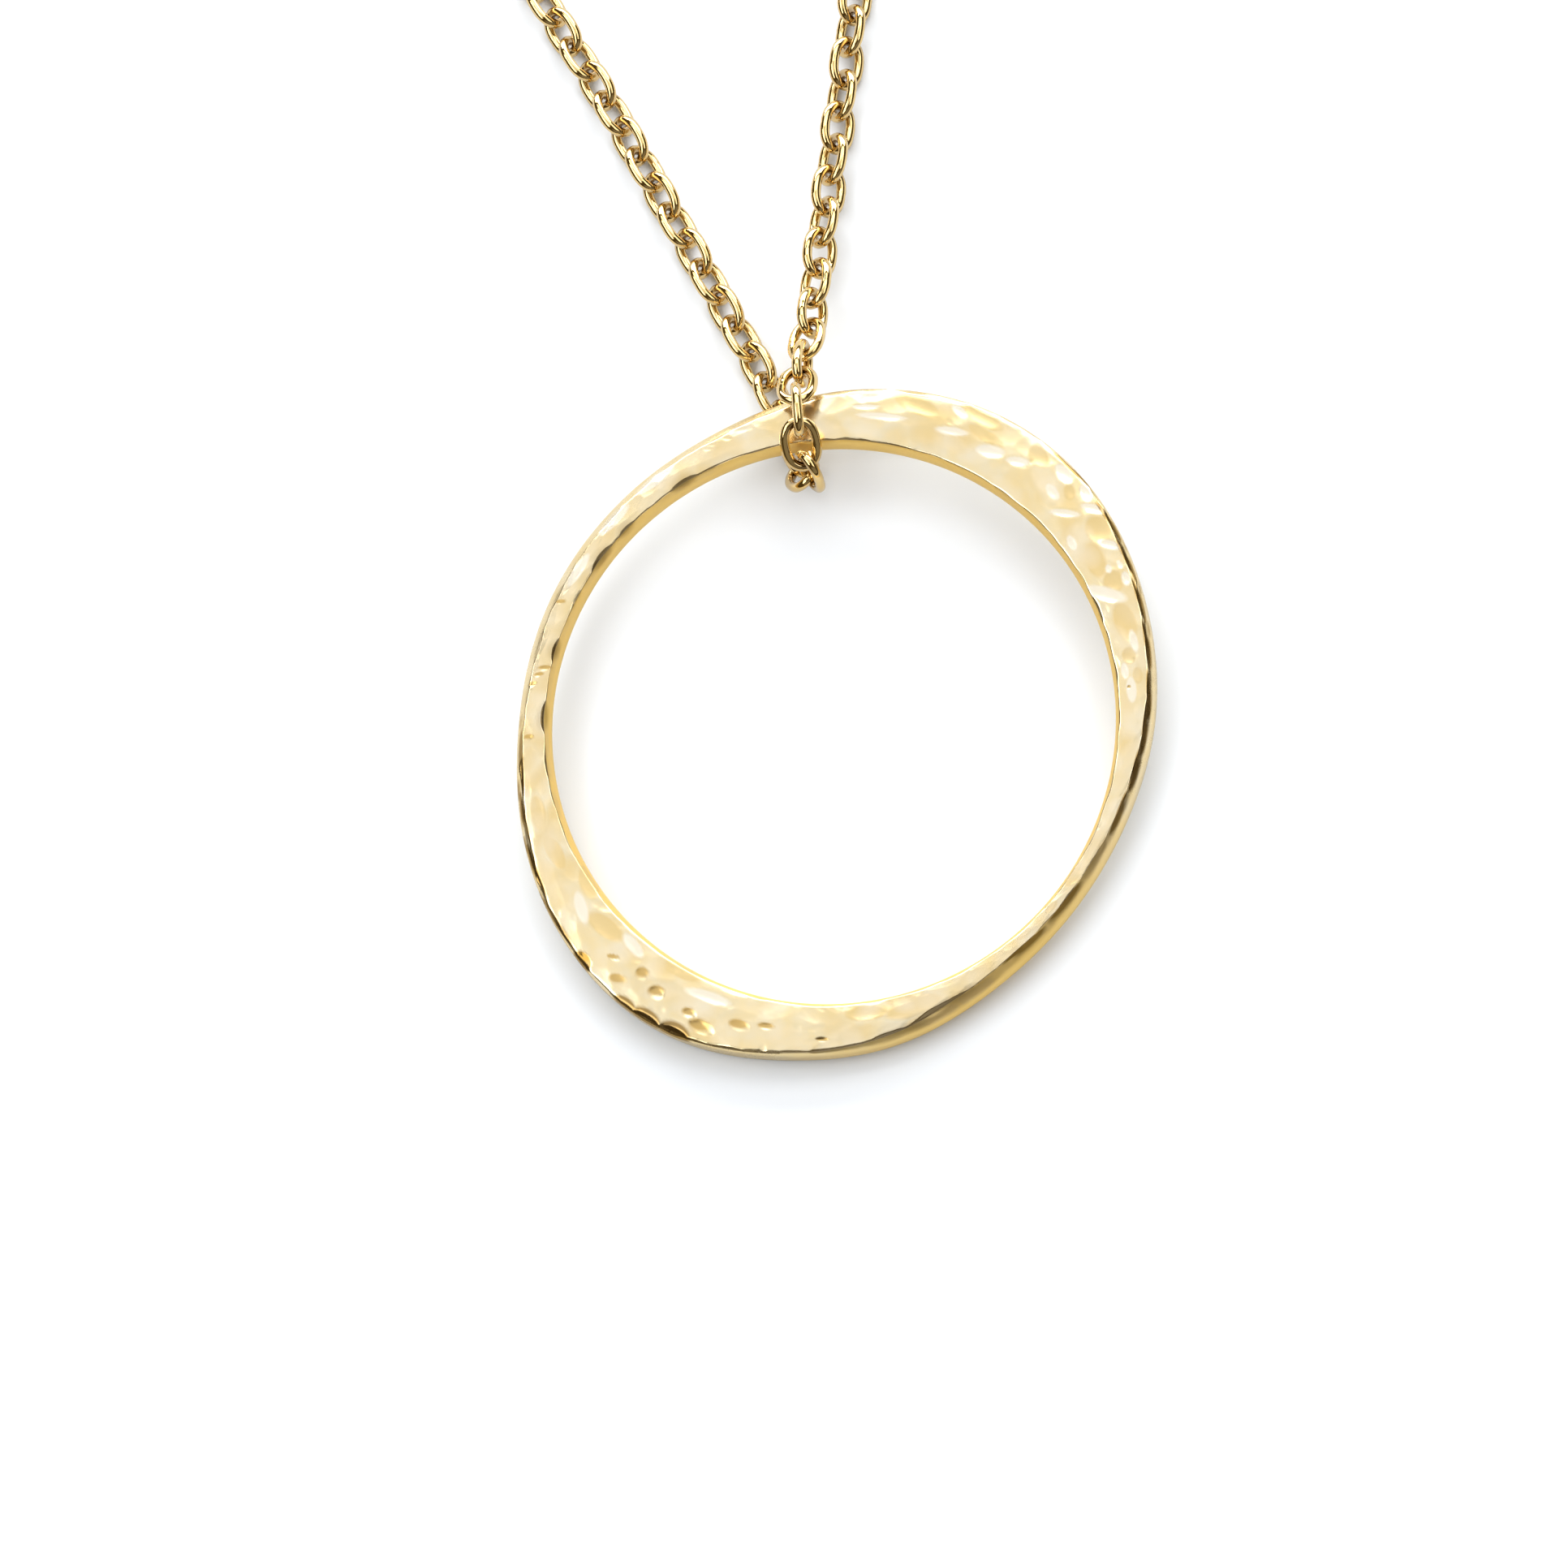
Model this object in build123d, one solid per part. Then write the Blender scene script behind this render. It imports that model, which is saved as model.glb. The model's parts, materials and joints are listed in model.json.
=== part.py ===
from build123d import *
import math
import os

# Circle necklace in millimetres, lying on a flat surface at z = 0: an open hammered ring on a fine
# cable chain that closes at a clasp. +Y runs from the ring to the clasp and +Z is up. While it is
# built, the origin is the point where the two straight strands would meet. At the end the whole
# necklace moves so that the origin is the middle of its base.

# Hammered ring, forged flat from round wire
ring_bore = 29.75         # across the inner edge of the face
bar_depth = 2.0           # from the back face to the front face
widest_face = 3.3
inner_swell = 0.4         # how far the inner wall stands into the bore at half depth
outer_swell = 0.55        # the same outwards, where the bar is roundest
ring_bearing = 3.0        # degrees from +Y to the strands' meeting point, from the ring's centre
meeting_point = 1.4       # from the face's inner edge out to the strands' meeting point

# Cable chain
wire = 0.53
link_width = 2.18
link_pitch = 1.82
play = 0.15               # gap between two interlocked wires
links_each_side = 108
crossing_links = 14       # of them, links on each side that follow the route round the ring
strand_angle = 17.8       # degrees between each straight strand and +Y
resting_lean = 45.0       # a link on the surface leans this far, each one opposite to the last
bow = 0.34                # how far the left strand bows outwards beside the ring
bow_length = 22.0

# Clasp, a plain ring with an eye
clasp_diameter = 5.5
clasp_wire = 0.6
clasp_play = 0.5          # the clasp hangs on a link with the mean of this and the links' play
eye_diameter = 2.2
eye_wire = 0.5
solder_overlap = 0.35     # how far the eye's wire sinks into the clasp's wire

# How the ring lies on the chain
piece_gap = 0.1           # least gap between separate pieces
bar_clearance = 0.39      # between the chain under the bar and the bar's back face
crossing_bearing = 5.0    # degrees from +Y to the chain, from the ring's centre
crossing_lean = 50.0      # lean of the steepest link under the bar

# Round the ring, clockwise from +Y: the face's width as a share of the widest face, and the outer
# wall's swell as a share of outer_swell.
ring_sections = [
    # degrees, face, swell
    (0, 0.58, 0.60),
    (20, 0.85, 0.30),
    (42, 1.00, 0.20),
    (62, 0.91, 0.20),
    (80, 0.67, 0.40),
    (102, 0.42, 0.70),
    (122, 0.23, 0.80),
    (142, 0.18, 0.90),
    (160, 0.26, 1.00),
    (180, 0.57, 0.65),
    (200, 0.80, 0.20),
    (220, 0.98, 0.15),
    (240, 0.875, 0.15),
    (260, 0.61, 0.35),
    (280, 0.35, 0.65),
    (305, 0.29, 0.85),
    (330, 0.315, 0.90),
    (348, 0.42, 0.80),
]

# The chain's route round the ring's bar, chosen by hand: sideways and outwards from the strands'
# meeting point, and up, from 0 for chain on the surface to 1 for a link standing on the bar's face.
crossing_route = [
    (-1.44, 4.50, 0.000),
    (-0.62, 1.55, 0.008),
    (-0.42, -0.25, 0.020),
    (-0.18, -2.03, 0.072),
    (0.40, -3.24, 0.375),
    (0.44, -2.80, 0.775),
    (0.52, -1.16, 1.010),
    (0.72, 0.64, 0.990),
    (1.10, 2.12, 0.750),
    (1.50, 3.60, 0.523),
    (1.94, 5.20, 0.365),
    (2.42, 6.90, 0.270),
    (3.40, 10.33, 0.135),
    (4.45, 13.78, 0.050),
    (5.55, 17.20, 0.005),
    (6.10, 18.95, 0.000),
]
fold_point = 5            # the point of the route over the bore, where the chain's two sides meet
route_samples = 600
pitch_samples = 20

# Turn of each link about its own length, in degrees away from its lean on the surface, from the fold
# outwards. Along the whole chain it comes to a quarter turn, and the last value goes on to the clasp.
left_turns = [45, 27, 6, 2, 0]
right_turns = [-45, -45, -50, -57, -70, -80, -86, -90]


def heading(bearing):
    return Vector(math.sin(math.radians(bearing)), math.cos(math.radians(bearing)), 0)


def resting_height(width, thickness, lean):
    # height of the middle of a link or ring that leans on the surface
    return (width - thickness) / 2 * math.sin(math.radians(lean)) + thickness / 2


link_length = link_pitch + play + 2 * wire
chain_height = resting_height(link_width, wire, resting_lean)
face_radius = ring_bore / 2
# the clasp's length between the two places where the chain's ends meet it
clasp_overall = clasp_diameter + eye_diameter - solder_overlap
clasp_length = clasp_overall - clasp_wire - eye_wire - clasp_play


def ring_outline(extra):
    # closed outline round the outside of the face, moved outwards by extra shares of the swell
    points = []
    for degrees, face, swell in ring_sections:
        radius = face_radius + face * widest_face + extra * swell * outer_swell
        points.append(heading(degrees) * radius)
    return Spline(*points, periodic=True)


def make_ring():
    # the outer wall goes through three outlines: back face, widest at half depth, front face
    outlines = []
    for height, extra in ((0, 0), (bar_depth / 2, 1), (bar_depth, 0)):
        outlines.append(Pos(0, 0, height) * make_face(ring_outline(extra)))
    blank = loft(outlines)
    # the bore's wall is an arc that stands inwards at half depth
    wall = ThreePointArc(
        (face_radius, 0), (face_radius - inner_swell, bar_depth / 2), (face_radius, bar_depth)
    )
    rest = Polyline((face_radius, bar_depth), (0, bar_depth), (0, 0), (face_radius, 0))
    core = revolve(Plane.XZ * make_face([wall, rest]), Axis.Z)
    return blank - core


def make_link():
    bend_radius = (link_width - wire) / 2
    straight = link_length - link_width
    side = Rot(0, 90, 0) * Cylinder(wire / 2, straight)
    end = Rot(0, 0, -90) * Torus(bend_radius, wire / 2, major_angle=180, align=None)
    link = Pos(0, bend_radius, 0) * side + Pos(0, -bend_radius, 0) * side
    link += Pos(straight / 2, 0, 0) * end
    link += Rot(0, 0, 180) * (Pos(straight / 2, 0, 0) * end)
    return link


def make_clasp():
    # the ring and its eye are soldered together, with the eye on the left
    ring_middle = clasp_length / 2 + clasp_wire + clasp_play / 2 - clasp_diameter / 2
    eye_middle = eye_diameter / 2 - clasp_length / 2 - eye_wire - clasp_play / 2
    ring_part = Torus((clasp_diameter - clasp_wire) / 2, clasp_wire / 2)
    eye_part = Torus((eye_diameter - eye_wire) / 2, eye_wire / 2)
    return Pos(ring_middle, 0, 0) * ring_part + Pos(eye_middle, 0, 0) * eye_part


def flat_normal(along, back, lean):
    # square to the plane that a link lies in, when it leans about its own length
    turn = math.radians(lean)
    return back * math.cos(turn) - back.cross(along) * math.sin(turn)


def seat(shape, middle, along, back, lean):
    plane = Plane(origin=middle, x_dir=along, z_dir=flat_normal(along, back, lean))
    return plane.location * shape


def lean_of(number, turns):
    # each link leans the other way from the last one
    return (-1) ** number * resting_lean + turns[min(number, len(turns) - 1)]


def step_along(track, start, length):
    # the first point of a finely divided line that is a length away from start
    before = track[0]
    passed = False
    for point in track:
        gap = (point - start).length
        if passed and gap >= length:
            share = (gap - length) / (point - before).length
            return point + (before - point) * share
        passed = passed or gap < length
        before = point
    return track[-1]


def even_joints(track):
    joints = [track[0]]
    for _ in range(crossing_links + 1):
        joints.append(step_along(track, joints[-1], link_pitch))
    return joints


def carried_backs(joints, back):
    # the back of each link, carried from the far end to the fold without twisting
    backs = []
    for near, far in reversed(list(zip(joints, joints[1:]))):
        along = (far - near).normalized()
        back = (back - along * back.dot(along)).normalized()
        backs.insert(0, back)
    return backs


def place_crossing(track, backs, turns, pull):
    # Links from the fold outwards, each hung on the last: at every meeting the two wires are as far
    # apart as the play asks, along the pull between the links. Gives each link's place and lean, and
    # the last meeting.
    bend_radius = (link_width - wire) / 2
    half_straight = (link_length - link_width) / 2
    joints = even_joints(track)
    meeting = track[0]
    places = []
    for number in range(crossing_links):
        along = (step_along(track, meeting, link_pitch) - meeting).normalized()
        back = backs[number] - along * backs[number].dot(along)
        back = back.normalized()
        lean = lean_of(number, turns)
        flat = flat_normal(along, back, lean)
        middle = meeting + along * half_straight - pull * ((wire + play) / 2)
        middle += (pull - flat * pull.dot(flat)).normalized() * bend_radius
        places.append((middle, along, back, lean))
        pull = (joints[number + 2] - joints[number]).normalized()
        meeting = middle + along * half_straight - pull * ((wire + play) / 2)
        meeting += (pull - flat * pull.dot(flat)).normalized() * bend_radius
    return places, meeting


# Ring: its back lies on the chain where the chain passes under it, and on the surface opposite
ring_centre = heading(ring_bearing) * -(face_radius + meeting_point)
under_bar = 2 * resting_height(link_width, wire, crossing_lean) + bar_clearance
flat_ring = Rot(0, 0, crossing_bearing) * make_ring()
flat_box = flat_ring.bounding_box()
ring_tilt = math.asin(under_bar / (face_radius - flat_box.min.Y))
hammered_ring = Rot(0, 0, -crossing_bearing) * (Rot(math.degrees(ring_tilt), 0, 0) * flat_ring)
hammered_ring = Pos(ring_centre.X, ring_centre.Y, 0) * hammered_ring
hammered_ring = Pos(0, 0, -hammered_ring.bounding_box().min.Z) * hammered_ring

# Crossing: a finely divided line for the links to follow, both ways from the fold
bar_face = under_bar + bar_depth + (flat_box.max.Y - face_radius) * math.sin(ring_tilt)
standing_height = bar_face + piece_gap + link_width / 2
route = []
for sideways, outwards, level in crossing_route:
    height = chain_height + level * (standing_height - chain_height)
    route.append(Vector(sideways, outwards, height))
left_way = heading(-strand_angle)
right_way = heading(strand_angle)
crossing = Spline(*route, tangents=(left_way * -1, right_way))
track = [crossing @ (sample / route_samples) for sample in range(route_samples + 1)]
fold = min(range(len(track)), key=lambda place: (track[place] - route[fold_point]).length)
left_track = track[fold::-1]
right_track = track[fold:]
for sample in range(1, pitch_samples * crossing_links):
    left_track.append(route[0] + left_way * (sample * link_pitch / pitch_samples))
    right_track.append(route[-1] + right_way * (sample * link_pitch / pitch_samples))
up = Vector(0, 0, 1)
left_backs = carried_backs(even_joints(left_track), up)
right_backs = carried_backs(even_joints(right_track), up * -1)
fold_pull = (even_joints(right_track)[1] - even_joints(left_track)[1]).normalized()
left_places, left_meeting = place_crossing(left_track, left_backs, left_turns, fold_pull * -1)
right_places, right_meeting = place_crossing(right_track, right_backs, right_turns, fold_pull)

# Loop: two straight strands and the round end that joins them, as large as the links fill
left_start = math.hypot(left_meeting.X, left_meeting.Y)
right_start = math.hypot(right_meeting.X, right_meeting.Y)
strand_links = links_each_side - crossing_links
half_angle = math.radians(strand_angle)
path_length = left_start + right_start + 2 * strand_links * link_pitch + clasp_length
loop_radius = path_length / (2 / math.tan(half_angle) + math.pi + 2 * half_angle)
straight_length = loop_radius / math.tan(half_angle)
half_path = straight_length + loop_radius * (math.pi / 2 + half_angle)
loop_middle = loop_radius / math.sin(half_angle)


def loop_point(distance, side, height):
    # a point of the loop, by its distance from the strands' meeting point: side -1 left, +1 right
    if distance > half_path:
        distance, side = 2 * half_path - distance, -side
    if distance < straight_length:
        way = heading(strand_angle)
        x, y = way.X * distance, way.Y * distance
        beyond = distance - left_start
        if side < 0 and 0 < beyond < bow_length:
            out = bow * math.sin(math.pi * beyond / bow_length) ** 2
            x, y = x + out * way.Y, y - out * way.X
    else:
        angle = (distance - straight_length) / loop_radius - half_angle
        x = loop_radius * math.cos(angle)
        y = loop_middle + loop_radius * math.sin(angle)
    return Vector(side * x, y, height)


def strand_joints(start, side):
    numbers = range(strand_links + 1)
    return [loop_point(start + number * link_pitch, side, chain_height) for number in numbers]


def place_strand(joints, back, turns):
    places = []
    for number, (near, far) in enumerate(zip(joints, joints[1:]), start=crossing_links):
        along = (far - near).normalized()
        square_back = (back - along * back.dot(along)).normalized()
        places.append(((near + far) / 2, along, square_back, lean_of(number, turns)))
    return places


def make_strand(places):
    link = make_link()
    return Compound(children=[seat(link, *place) for place in places])


left_joints = strand_joints(left_start, -1)
right_joints = strand_joints(right_start, 1)
chain_left = make_strand(left_places + place_strand(left_joints, up, left_turns))
chain_right = make_strand(right_places + place_strand(right_joints, up * -1, right_turns))

# Clasp: it joins the chain's two ends and leans on the surface, the other way from the last links
clasp_radius = (clasp_diameter - clasp_wire) / 2
clasp_lean = math.degrees(math.asin((chain_height - clasp_wire / 2) / clasp_radius))
clasp_lean *= (-1) ** links_each_side
clasp_middle = (left_joints[-1] + right_joints[-1]) / 2
clasp_along = (right_joints[-1] - left_joints[-1]).normalized()
clasp = seat(make_clasp(), clasp_middle, clasp_along, up, clasp_lean)

# Write each piece with the origin at the middle of the necklace's base
nodes = {
    "hammered_ring": hammered_ring,
    "chain_left": chain_left,
    "chain_right": chain_right,
    "clasp": clasp,
}
boxes = [shape.bounding_box() for shape in nodes.values()]
low_x, high_x = min(box.min.X for box in boxes), max(box.max.X for box in boxes)
low_y, high_y = min(box.min.Y for box in boxes), max(box.max.Y for box in boxes)
base = Pos(-(low_x + high_x) / 2, -(low_y + high_y) / 2, -min(box.min.Z for box in boxes))
os.makedirs("parts", exist_ok=True)
for name, shape in nodes.items():
    export_step(base * shape, f"parts/{name}.step")
print("loop radius", round(loop_radius, 2), "ring tilt", round(math.degrees(ring_tilt), 2))
print("chain length", round(2 * links_each_side * link_pitch, 1))
print("across", round(high_x - low_x, 2), "long", round(high_y - low_y, 2))
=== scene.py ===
import bpy
import json
import math
import random
import numpy as np
from mathutils import Matrix, Vector

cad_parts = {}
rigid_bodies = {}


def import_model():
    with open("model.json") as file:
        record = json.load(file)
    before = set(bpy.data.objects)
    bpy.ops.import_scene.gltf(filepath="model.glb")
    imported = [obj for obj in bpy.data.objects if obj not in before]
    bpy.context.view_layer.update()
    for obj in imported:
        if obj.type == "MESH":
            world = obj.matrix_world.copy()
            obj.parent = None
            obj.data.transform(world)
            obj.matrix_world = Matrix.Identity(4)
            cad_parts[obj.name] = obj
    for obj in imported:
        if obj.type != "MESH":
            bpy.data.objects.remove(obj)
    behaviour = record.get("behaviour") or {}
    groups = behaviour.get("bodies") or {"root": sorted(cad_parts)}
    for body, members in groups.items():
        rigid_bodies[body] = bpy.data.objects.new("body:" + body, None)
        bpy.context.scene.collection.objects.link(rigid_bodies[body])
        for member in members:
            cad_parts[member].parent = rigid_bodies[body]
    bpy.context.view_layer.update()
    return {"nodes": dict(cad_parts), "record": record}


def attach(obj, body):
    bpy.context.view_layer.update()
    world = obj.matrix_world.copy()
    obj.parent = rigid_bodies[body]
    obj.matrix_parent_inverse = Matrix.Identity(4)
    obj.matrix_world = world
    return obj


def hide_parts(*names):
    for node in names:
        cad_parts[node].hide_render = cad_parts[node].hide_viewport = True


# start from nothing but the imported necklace
for leftover in list(bpy.data.objects):
    bpy.data.objects.remove(leftover)
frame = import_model()
print("frame loaded:", ", ".join(sorted(frame["nodes"])))

mm = 0.001


class Field:
    # a socket that can be used in sums: every operator adds one Math node
    def __init__(self, look, socket):
        self.look = look
        self.socket = socket

    def maths(self, operation, *values):
        sockets = dict(enumerate(values))
        return self.look.add("ShaderNodeMath", {"operation": operation}, sockets)

    def __add__(self, other):
        return self.maths("ADD", self, other)

    def __radd__(self, other):
        return self.maths("ADD", other, self)

    def __sub__(self, other):
        return self.maths("SUBTRACT", self, other)

    def __rsub__(self, other):
        return self.maths("SUBTRACT", other, self)

    def __mul__(self, other):
        return self.maths("MULTIPLY", self, other)

    def __rmul__(self, other):
        return self.maths("MULTIPLY", other, self)

    def clamped(self):
        return self.look.add("ShaderNodeClamp", {}, {"Value": self})


class Look:
    # the nodes of one material or world, and the single method that adds them
    def __init__(self, owner):
        owner.use_nodes = True
        self.owner = owner
        self.tree = owner.node_tree
        self.tree.nodes.clear()

    def add(self, kind, settings=None, sockets=None, out=0):
        node = self.tree.nodes.new(kind)
        for name, value in (settings or {}).items():
            setattr(node, name, value)
        for name, value in (sockets or {}).items():
            if isinstance(value, Field):
                self.tree.links.new(value.socket, node.inputs[name])
            else:
                node.inputs[name].default_value = value
        return Field(self, node.outputs[out]) if node.outputs else None

    def blendColours(self, share, first, second):
        # the colours of a Mix node are its sockets 6 and 7, and its output 2
        settings = {"data_type": "RGBA"}
        return self.add("ShaderNodeMix", settings, {0: share, 6: first, 7: second}, out=2)

    def places(self, size):
        # object coordinates, in units of the given size in millimetres
        sockets = {"Vector": self.add("ShaderNodeTexCoord", out="Object"), "Scale": 1 / (size * mm)}
        return self.add("ShaderNodeVectorMath", {"operation": "SCALE"}, sockets)

    def noise(self, size, detail=2.0, roughness=0.5):
        sockets = {"Vector": self.places(size), "Scale": 1.0, "Detail": detail}
        return self.add("ShaderNodeTexNoise", {}, {**sockets, "Roughness": roughness})

    def painted(self, name):
        # a number that a piece carries on its points: an Attribute node's output 2
        return self.add("ShaderNodeAttribute", {"attribute_name": name}, out=2)

    def bump(self, strength, distance, relief):
        sockets = {"Strength": strength, "Distance": distance * mm, "Height": relief}
        return self.add("ShaderNodeBump", {}, sockets)

    def finish(self, surface, kind="ShaderNodeOutputMaterial"):
        self.add(kind, {}, {"Surface": surface})
        return self.owner


def addObject(name, content):
    thing = bpy.data.objects.new(name, content)
    bpy.context.collection.objects.link(thing)
    return thing


def newPiece(name, places, faces, material, node):
    # one mesh object that stands for a node of the frame and rides with it, from millimetres
    mesh = bpy.data.meshes.new(name)
    mesh.from_pydata((places * mm).tolist(), [], faces.tolist())
    mesh.update()
    mesh.polygons.foreach_set("use_smooth", [True] * len(mesh.polygons))
    mesh.materials.append(material)
    piece = addObject(name, mesh)
    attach(piece, "root")
    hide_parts(node)
    return piece


def paintPoints(piece, name, values):
    # one number on every point of a piece, for its material
    layer = piece.data.attributes.new(name, "FLOAT", "POINT")
    layer.data.foreach_set("value", np.ravel(values).astype(np.float32))


def closedFaces(rows, around):
    # the quads of a surface that closes on itself both ways, over rows of points
    corner = np.arange(rows * around).reshape(rows, around)
    ahead = np.roll(corner, -1, axis=0)
    quads = [corner, np.roll(corner, -1, axis=1), np.roll(ahead, -1, axis=1), ahead]
    return np.stack(quads, axis=-1).reshape(-1, 4)


def nodePoints(name):
    mesh = frame["nodes"][name].data
    flat = np.empty(len(mesh.vertices) * 3)
    mesh.vertices.foreach_get("co", flat)
    return flat.reshape(-1, 3) / mm


def triangleCorners(name, points):
    mesh = frame["nodes"][name].data
    mesh.calc_loop_triangles()
    corners = np.empty(len(mesh.loop_triangles) * 3, dtype=int)
    mesh.loop_triangles.foreach_get("vertices", corners)
    return points[corners.reshape(-1, 3)]


# how the ring is read from the frame
ringReading = {
    "upward": 0.99,          # least rise of the normal of a triangle on the ring's face
    "edgeBand": 0.005,       # mm, how far below the face a point of its edge can be
    "boreGuess": 15.1,       # mm, a first radius for the bore
    "boreBand": 0.15,        # mm, how far outside that circle a point of the bore's edge can be
    "readings": 3,           # times that the circle is fitted
    "wallStart": 0.3,        # mm outside the bore, where the points of the outer wall start
    "waves": 16,             # in the periodic curves through the outer wall
}


def readRing():
    # the ring's own axes and outlines, all in millimetres
    size = ringReading
    points = nodePoints("hammered_ring")
    corners = triangleCorners("hammered_ring", points)
    slopes = np.cross(corners[:, 1] - corners[:, 0], corners[:, 2] - corners[:, 0])
    upward = slopes[:, 2] > size["upward"] * np.linalg.norm(slopes, axis=1)
    normal = slopes[upward].sum(axis=0)
    normal /= np.linalg.norm(normal)
    across = np.array([1.0, 0, 0]) - normal * normal[0]
    across /= np.linalg.norm(across)
    ahead = np.cross(normal, across)
    flat = np.stack([points @ across, points @ ahead], axis=1)
    height = points @ normal
    back, face = height.min(), height.max()
    openings = frame["record"]["physics"]["openings"]
    hole = next(opening for opening in openings if opening["name"] == "ring_hole")
    guess = np.append(np.mean(np.array(hole["box_m"])[:, :2], axis=0) / mm, points[:, 2].mean())
    middle, radius = np.array([guess @ across, guess @ ahead]), size["boreGuess"]
    edge = flat[height > face - size["edgeBand"]]
    for reading in range(size["readings"]):
        # a circle through the bore's edge, closer each time
        bore = edge[np.hypot(*(edge - middle).T) < radius + size["boreBand"]]
        terms = np.c_[2 * bore, np.ones(len(bore))]
        found = np.linalg.lstsq(terms, (bore ** 2).sum(axis=1), rcond=None)[0]
        middle = found[:2]
        radius = math.sqrt(found[2] + middle @ middle)
    rim, swell = outlines(flat - middle, (height - back) / (face - back), radius)
    return {
        "across": across, "ahead": ahead, "normal": normal, "middle": middle,
        "back": back, "depth": face - back, "bore": radius, "rim": rim, "swell": swell,
    }


def bulge(share):
    # how far a wall swells, by height from 0 at the back to 1 at the face
    return 1 - (2 * share - 1) ** 2


def outlines(spots, share, bore):
    # smooth periodic curves through the outer wall: the rim's radius and the swell, by bearing
    waves = ringReading["waves"]
    reach = np.hypot(*spots.T)
    outer = reach > bore + ringReading["wallStart"]
    waveform = waveTable(np.arctan2(spots[outer, 0], spots[outer, 1]), waves)
    terms = np.c_[waveform, waveform * bulge(share[outer])[:, None]]
    found = np.linalg.lstsq(terms, reach[outer], rcond=None)[0]
    print("outline fitted within", round(abs(terms @ found - reach[outer]).max(), 3), "mm")
    first = waveform.shape[1]
    return (lambda angles: waveTable(angles, waves) @ found[:first],
            lambda angles: waveTable(angles, waves) @ found[first:])


def waveTable(angles, waves):
    steps = np.outer(angles, np.arange(1, waves + 1))
    return np.c_[np.ones(len(angles)), np.cos(steps), np.sin(steps)]


ringShape = readRing()
print("ring read: bore", round(2 * ringShape["bore"], 2), "mm")


# the camera, at the photograph's angle
cameraView = {
    "side": 15.3,            # degrees that the camera stands round to the right of the wearer's end
    "offVertical": 16.9,     # degrees down from straight overhead
    "roll": -26.6,
    "distance": 400.0,       # mm
    "sensor": 36,            # mm, its width
    "nearest": 0.01,         # m, what the camera can see
    "farthest": 20,
    "picture": 1932,         # pixels along the picture's side
    "pixelsPerMm": 24.0,     # at the ring's face
    "ringMiddleX": 1023.1,   # pixels, where the middle of the ring's face shows
    "ringMiddleY": 887.8,
}


def facePoint(sideways, onwards):
    # a place on the plane of the ring's face, from the bore's middle
    ring = ringShape
    flat = ring["middle"] + np.array([sideways, onwards])
    height = ring["back"] + ring["depth"]
    return flat[0] * ring["across"] + flat[1] * ring["ahead"] + height * ring["normal"]


def cameraAxes():
    look = cameraView
    turn = Matrix.Rotation(math.radians(look["side"]), 3, "Z")
    turn = turn @ Matrix.Rotation(math.radians(look["offVertical"]), 3, "X")
    turn = turn @ Matrix.Rotation(math.radians(look["roll"]), 3, "Z")
    return turn


def pictureMiddle():
    look = cameraView
    turn = np.array(cameraAxes())
    half = look["picture"] / 2
    left = (look["ringMiddleX"] - half) / look["pixelsPerMm"]
    raised = (half - look["ringMiddleY"]) / look["pixelsPerMm"]
    return facePoint(0, 0) - turn[:, 0] * left - turn[:, 1] * raised


def addCamera():
    look = cameraView
    turn = cameraAxes()
    lens = bpy.data.cameras.new("photoCamera")
    lens.sensor_width = look["sensor"]
    lens.lens = look["sensor"] * look["distance"] / (look["picture"] / look["pixelsPerMm"])
    lens.clip_start = look["nearest"]
    lens.clip_end = look["farthest"]
    camera = addObject("photoCamera", lens)
    place = pictureMiddle() + np.array(turn)[:, 2] * look["distance"]
    camera.matrix_world = Matrix.Translation(Vector(place) * mm) @ turn.to_4x4()
    bpy.context.scene.camera = camera


def underPixel(x, y):
    # the place on the ring's face that a pixel of the photograph shows, as bearing and radius
    look = cameraView
    turn = np.array(cameraAxes())
    half = look["picture"] / 2
    eye = pictureMiddle() + turn[:, 2] * look["distance"]
    onPlane = pictureMiddle() + turn[:, 0] * (x - half) / look["pixelsPerMm"]
    onPlane = onPlane + turn[:, 1] * (half - y) / look["pixelsPerMm"]
    ray = onPlane - eye
    normal = ringShape["normal"]
    reach = ((facePoint(0, 0) - eye) @ normal) / (ray @ normal)
    spot = eye + ray * reach - facePoint(0, 0)
    sideways, onwards = spot @ ringShape["across"], spot @ ringShape["ahead"]
    return math.atan2(sideways, onwards), math.hypot(sideways, onwards)


addCamera()
print("camera placed")


# the hammered ring
ringPiece = {
    "stepsRound": 1440,
    "stepsFace": 28,
    "stepsWall": 8,
    "stepsBack": 7,
    "stepsCorner": 3,
    "corner": 0.07,          # mm, how far the rounding of an edge reaches
    "crown": 0.024,          # the face's rise in its middle, as a share of its width
    "innerSwell": 0.26,      # mm, how far the bore's wall stands inwards at half depth
    "shrink": 0.01,          # mm, kept inside the frame's outline
    "brownMiddle": 0.55,     # painted shade in the middle of a brown dent, more on its upper side in the picture and less below
    "wallHighlight": 0.8,           # how pale the outer wall is painted, a painted highlight, 1 for as pale as the face
    "unlitWallMiddle": 158,   # degrees of bearing, where the outer wall has no painted highlight
    "unlitWallHalf": 30,      # degrees
    "wallHighlightSlope": 4,        # how soon the painted highlight starts beside that stretch
    "seed": 11,
    "drift": 0.3,            # how far a light blow strays from an even step round the ring
    "twist": 50,             # degrees that it turns at most
    "tints": (("golden", 0.40), ("bright", 0.24)),      # painted shade (golden) or painted highlight (bright) of a broad blow, and the most of each
    "leastTint": 0.05,
}

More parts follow.
